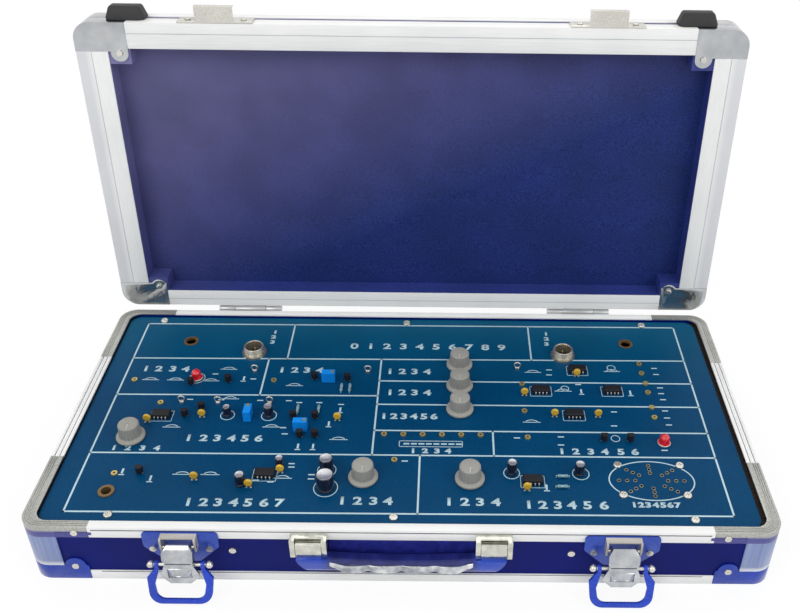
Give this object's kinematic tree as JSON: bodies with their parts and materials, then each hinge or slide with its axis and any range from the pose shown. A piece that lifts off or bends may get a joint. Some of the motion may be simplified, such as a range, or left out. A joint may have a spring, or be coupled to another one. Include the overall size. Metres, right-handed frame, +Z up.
{
  "type": "modulation demodulation trainer",
  "caption": "Hinged flat instrument case with a blue training circuit panel, control knobs, sockets and a speaker, two toggle latches and a carrying handle.",
  "frame": {"origin": "middle of the underside of the case, on the surface it stands on", "axes": "+X right seen from the front, +Y back to the hinges, +Z up"},
  "size_m": [0.4622, 0.2823, 0.284],
  "materials": {
    "black_board": "black fibreboard",
    "blue_wall": "dark blue laminate on board",
    "silver_rail": "satin anodised aluminium",
    "silver_cap": "pressed grooved metal",
    "corner_post": "light blue grey film on metal",
    "blue_corner": "bright blue coated metal",
    "silver_corner": "bright pressed metal",
    "bright_rivet": "nickel plate",
    "wood_bearer": "planed strip",
    "board_blue": "solder mask with white print",
    "socket_metal": "nickel plated",
    "eyelet_brown": "brown sleeve",
    "steel_frame": "black steel",
    "paper_cone": "black paper",
    "lamp_red": "tinted clear resin",
    "black_plastic": "moulded epoxy",
    "can_black": "shrink sleeve",
    "trimmer_blue": "moulded blue plastic",
    "resistor_blue": "pale blue lacquer with bands",
    "disc_yellow": "dipped yellow coating",
    "gold_ring": "gold flash",
    "blue_plate": "blue tinted plated metal",
    "chrome_bracket": "bright plate",
    "handle_silver": "bright band, blue at its ends",
    "blue_gloss": "glossy dark blue",
    "hinge_steel": "plated steel",
    "lid_lining": "navy textured lining on board",
    "black_rubber": "black rubber",
    "knob_grey": "grey moulded plastic",
    "lever_silver": "satin chrome",
    "bail_blue": "blue tinted plated metal"
  },
  "bodies": {
    "case": {"base_back_wall": "blue_wall", "base_bottom": "black_board", "base_corner_balls": "blue_corner", "base_corner_posts": "corner_post", "base_foot_rails": "silver_rail", "base_front_wall": "blue_wall", "base_rim_caps": "silver_cap", "base_rim_rails": "silver_rail", "base_rivets": "bright_rivet", "base_side_walls": "blue_wall", "chips": "black_plastic", "circuit_panel": "board_blue", "contact_rings": "gold_ring", "disc_capacitors": "disc_yellow", "electrolytic_capacitors": "can_black", "handle_backplate": "blue_gloss", "handle_brackets": "chrome_bracket", "hinge_base_leaves": "hinge_steel", "hinge_pins": "hinge_steel", "latch_plates": "blue_plate", "panel_bearers": "wood_bearer", "panel_eyelets": "eyelet_brown", "panel_screws": "bright_rivet", "panel_sockets": "socket_metal", "pivot_pins": "bright_rivet", "potentiometer_bodies": "socket_metal", "resistors": "resistor_blue", "signal_lamps": "lamp_red", "socket_nuts": "socket_metal", "speaker_cone": "paper_cone", "speaker_frame": "steel_frame", "test_terminals": "bright_rivet", "transistors": "black_plastic", "trimmer_bodies": "trimmer_blue"},
    "lid": {"hinge_lid_leaves": "hinge_steel", "lid_corner_balls": "silver_corner", "lid_corner_blocks": "lid_lining", "lid_feet": "black_rubber", "lid_keepers": "bright_rivet", "lid_panel": "lid_lining", "lid_rails": "silver_rail", "lid_rivets": "bright_rivet", "lid_walls": "lid_lining"},
    "handle": {"handle_ferrules": "chrome_bracket", "handle_grip": "handle_silver"},
    "lever_left": {"latch_lever_left": "lever_silver", "latch_axle_left": "bright_rivet"},
    "bail_left": {"latch_bail_left": "bail_blue"},
    "lever_right": {"latch_lever_right": "lever_silver", "latch_axle_right": "bright_rivet"},
    "bail_right": {"latch_bail_right": "bail_blue"},
    "knob_1": {"knob_1": "knob_grey"},
    "knob_2": {"knob_2": "knob_grey"},
    "knob_3": {"knob_3": "knob_grey"},
    "knob_4": {"knob_4": "knob_grey"},
    "knob_5": {"knob_5": "knob_grey"},
    "knob_6": {"knob_6": "knob_grey"},
    "trimmer_screw_1": {"trimmer_screw_1": "gold_ring"},
    "trimmer_screw_2": {"trimmer_screw_2": "gold_ring"},
    "trimmer_screw_3": {"trimmer_screw_3": "gold_ring"}
  },
  "joints": [
    {"name": "lid_hinge", "type": "hinge", "parent": "case", "child": "lid", "pos_m": [0, 0.11475, 0.046], "axis": [1, 0, 0], "range_deg": [0, 93]},
    {"name": "handle_swing", "type": "hinge", "parent": "case", "child": "handle", "pos_m": [0, -0.1164, 0.0376], "axis": [-1, 0, 0], "range_deg": [0, 100]},
    {"name": "lever_left_lift", "type": "hinge", "parent": "case", "child": "lever_left", "pos_m": [-0.133, -0.1175, 0.0365], "axis": [-1, 0, 0], "range_deg": [0, 100]},
    {"name": "bail_left_swing", "type": "hinge", "parent": "lever_left", "child": "bail_left", "pos_m": [-0.133, -0.121, 0.025], "axis": [1, 0, 0], "range_deg": [-158.5, 0]},
    {"name": "lever_right_lift", "type": "hinge", "parent": "case", "child": "lever_right", "pos_m": [0.133, -0.1175, 0.0365], "axis": [-1, 0, 0], "range_deg": [0, 100]},
    {"name": "bail_right_swing", "type": "hinge", "parent": "lever_right", "child": "bail_right", "pos_m": [0.133, -0.121, 0.025], "axis": [1, 0, 0], "range_deg": [-158.5, 0]},
    {"name": "knob_1_turn", "type": "hinge", "parent": "case", "child": "knob_1", "pos_m": [-0.1845, -0.031, 0.05], "axis": [0, 0, 1], "range_deg": [-150, 150]},
    {"name": "knob_2_turn", "type": "hinge", "parent": "case", "child": "knob_2", "pos_m": [-0.0265, -0.0665, 0.05], "axis": [0, 0, 1], "range_deg": [-150, 150]},
    {"name": "knob_3_turn", "type": "hinge", "parent": "case", "child": "knob_3", "pos_m": [0.0355, 0.0485, 0.05], "axis": [0, 0, 1], "range_deg": [-150, 150]},
    {"name": "knob_4_turn", "type": "hinge", "parent": "case", "child": "knob_4", "pos_m": [0.0355, 0.0245, 0.05], "axis": [0, 0, 1], "range_deg": [-150, 150]},
    {"name": "knob_5_turn", "type": "hinge", "parent": "case", "child": "knob_5", "pos_m": [0.0355, -0.0005, 0.05], "axis": [0, 0, 1], "range_deg": [-150, 150]},
    {"name": "knob_6_turn", "type": "hinge", "parent": "case", "child": "knob_6", "pos_m": [0.0415, -0.067, 0.05], "axis": [0, 0, 1], "range_deg": [-150, 150]},
    {"name": "trimmer_screw_1_turn", "type": "hinge", "parent": "case", "child": "trimmer_screw_1", "pos_m": [-0.056, 0.03, 0.052], "axis": [0, 0, 1], "continuous": true},
    {"name": "trimmer_screw_2_turn", "type": "hinge", "parent": "case", "child": "trimmer_screw_2", "pos_m": [-0.11, -0.007, 0.052], "axis": [0, 0, 1], "continuous": true},
    {"name": "trimmer_screw_3_turn", "type": "hinge", "parent": "case", "child": "trimmer_screw_3", "pos_m": [-0.0695, -0.0215, 0.052], "axis": [0, 0, 1], "continuous": true}
  ]
}
